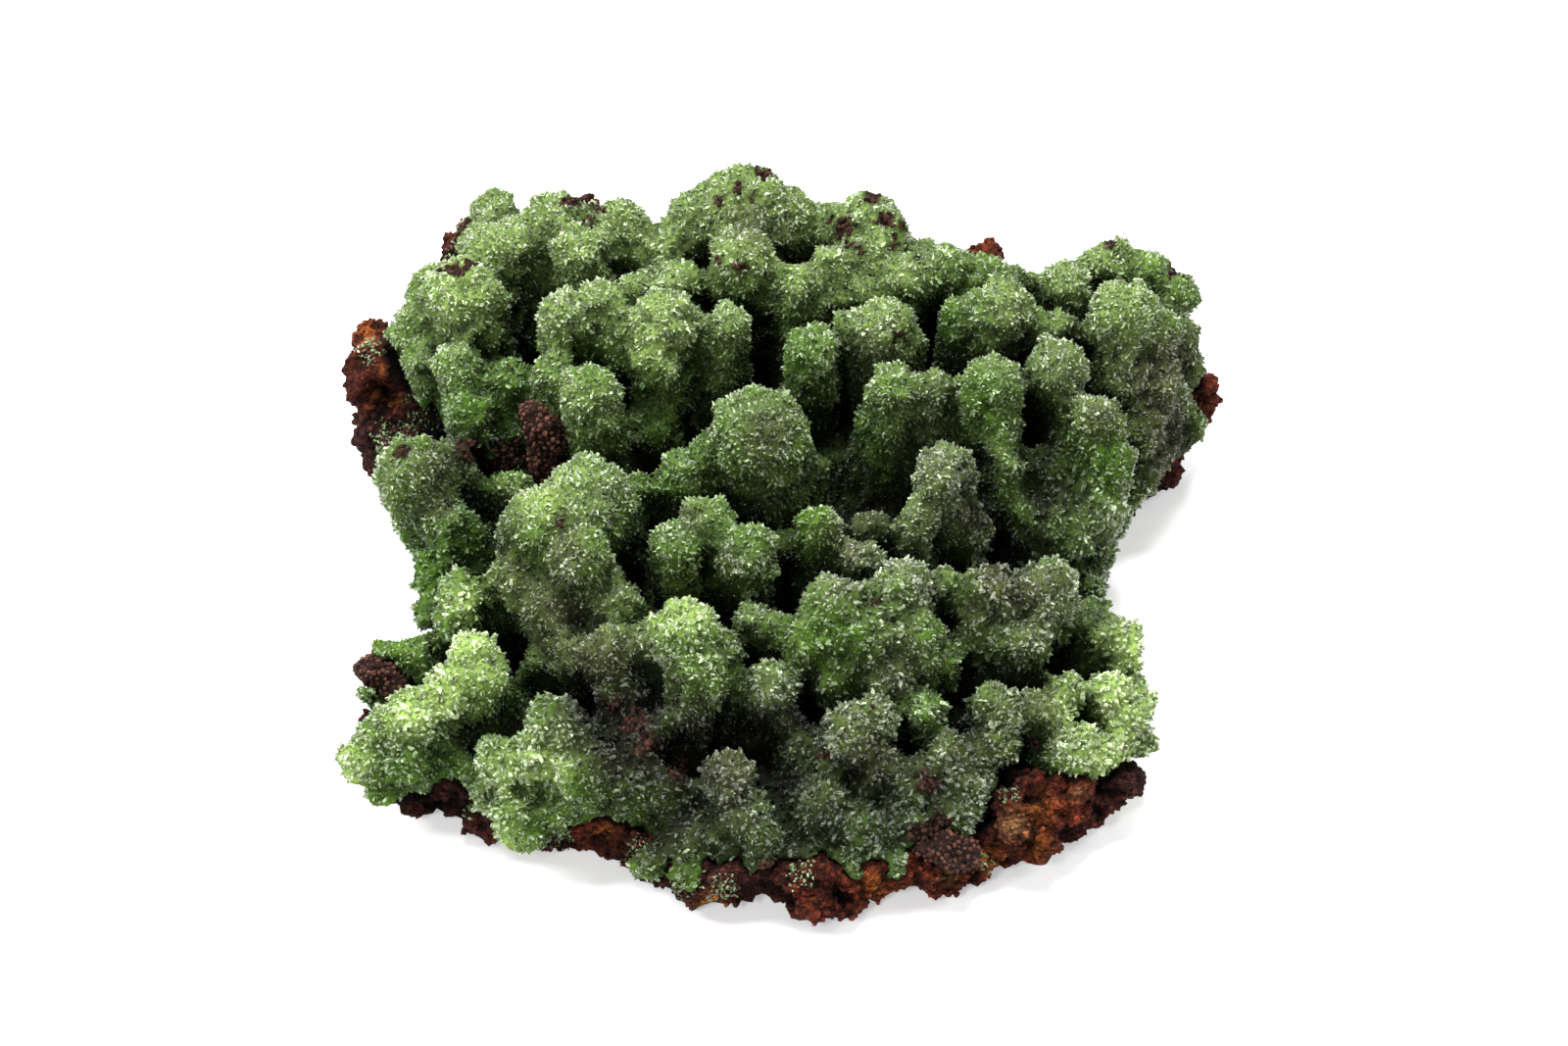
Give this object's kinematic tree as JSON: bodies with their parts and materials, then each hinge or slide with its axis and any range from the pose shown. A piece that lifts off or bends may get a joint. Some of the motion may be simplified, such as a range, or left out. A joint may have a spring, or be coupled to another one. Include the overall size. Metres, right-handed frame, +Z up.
{
  "type": "austinite crystal specimen",
  "caption": "Free-standing mineral specimen: a druse of green austinite lumps and fingers on a rough slab of brown iron-oxide rock, with dark goethite knobs.",
  "frame": {"origin": "middle of the specimen's box, on the surface it lies on", "axes": "+X to the right as seen from the front, +Y towards the back, +Z up out of the druse"},
  "size_m": [0.1204, 0.1176, 0.0373],
  "materials": {
    "matrix": "rough, earthy",
    "austinite": "fine glassy crystals",
    "goethite": "granular, dull to satin"
  },
  "bodies": {
    "root": {"matrix": "matrix", "austinite_crust": "austinite", "goethite_knob_left": "goethite", "goethite_knob_centre": "goethite", "goethite_rosette_front": "goethite"}
  },
  "joints": []
}
